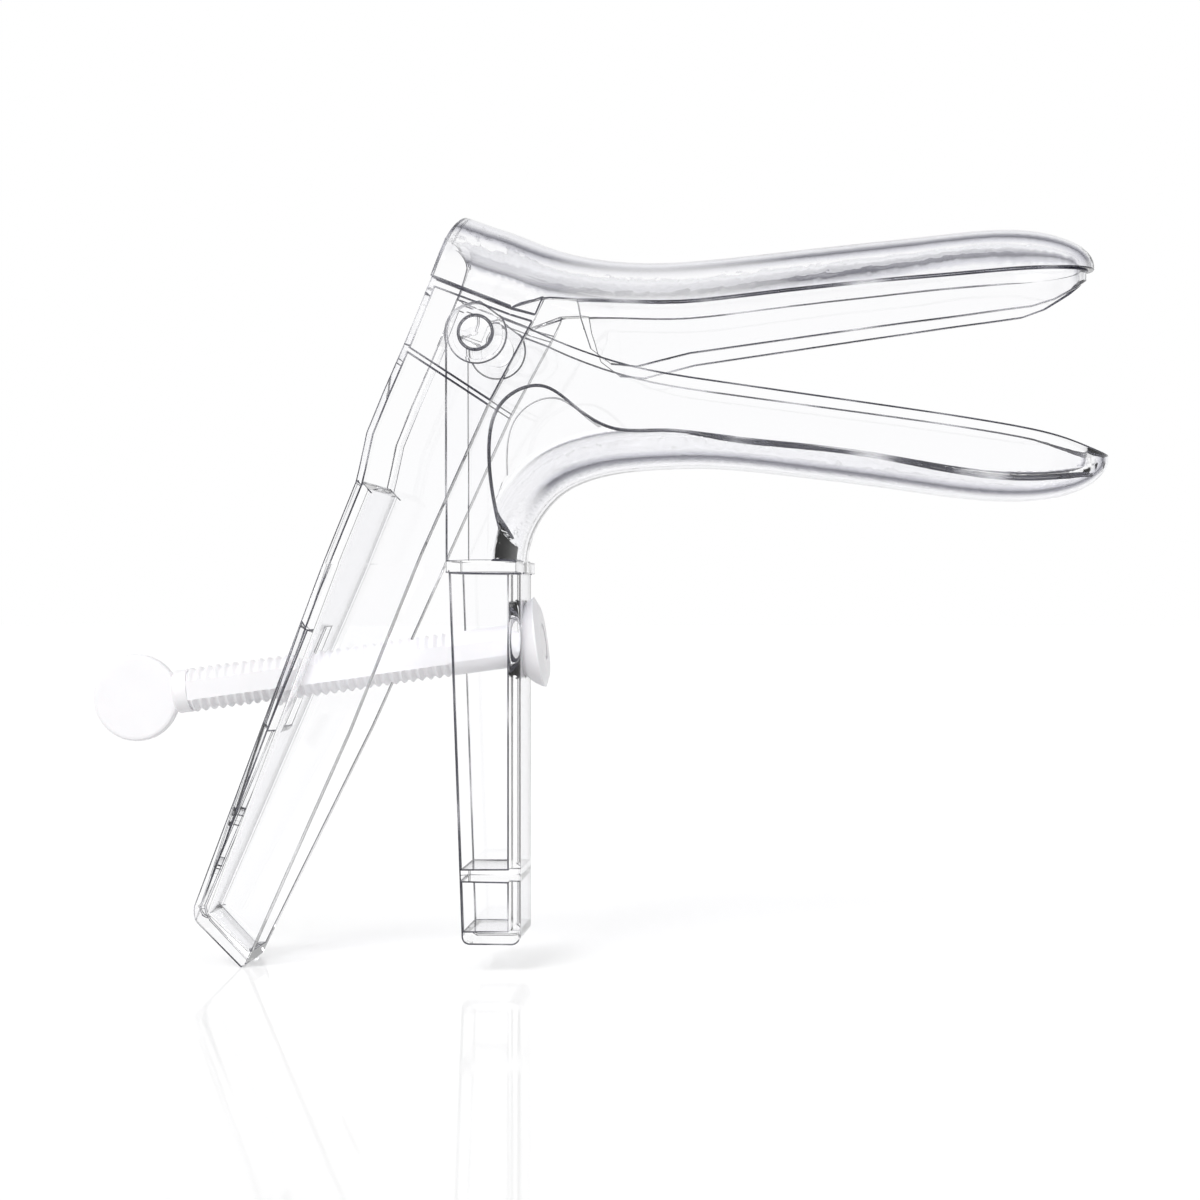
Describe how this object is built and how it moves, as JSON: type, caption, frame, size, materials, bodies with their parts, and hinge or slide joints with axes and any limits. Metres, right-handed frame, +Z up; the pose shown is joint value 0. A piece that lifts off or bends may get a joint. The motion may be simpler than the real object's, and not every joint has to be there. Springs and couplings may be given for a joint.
{
  "type": "bivalve speculum",
  "caption": "Disposable clear plastic speculum with hinged duckbill blades, two handles and a white ridged locking screw that holds the blades open.",
  "frame": {"origin": "middle of the flat foot of the front handle", "axes": "+X towards the blade tips, +Z up along the front handle towards the hinge, +Y to the instrument's left side; the object is symmetric about the XZ plane"},
  "size_m": [0.1917, 0.0404, 0.1407],
  "materials": {
    "clear_plastic": "polished clear polystyrene",
    "white_plastic": "satin white polypropylene"
  },
  "bodies": {
    "lower_valve": {"lower_valve": "clear_plastic"},
    "upper_valve": {"upper_valve": "clear_plastic"},
    "screw_head": {"screw_head": "white_plastic"},
    "locking_screw": {"locking_screw": "white_plastic"}
  },
  "joints": [
    {"name": "valve_hinge", "type": "hinge", "parent": "lower_valve", "child": "upper_valve", "pos_m": [-0.0018, 0, 0.1124], "axis": [0, -1, 0], "range_deg": [-16.2, 12]},
    {"name": "screw_swivel", "type": "hinge", "parent": "lower_valve", "child": "screw_head", "pos_m": [0.01205, 0, 0.0564], "axis": [0, -1, 0], "range_deg": [-14.1, 10.3]},
    {"name": "screw_turn", "type": "hinge", "parent": "screw_head", "child": "locking_screw", "pos_m": [0.01205, 0, 0.0564], "axis": [0.9905, 0, 0.1374], "range_deg": [0, 90]}
  ],
  "couplings": [
    {"joint": "screw_swivel", "follows": "valve_hinge", "ratio": 0.85}
  ]
}
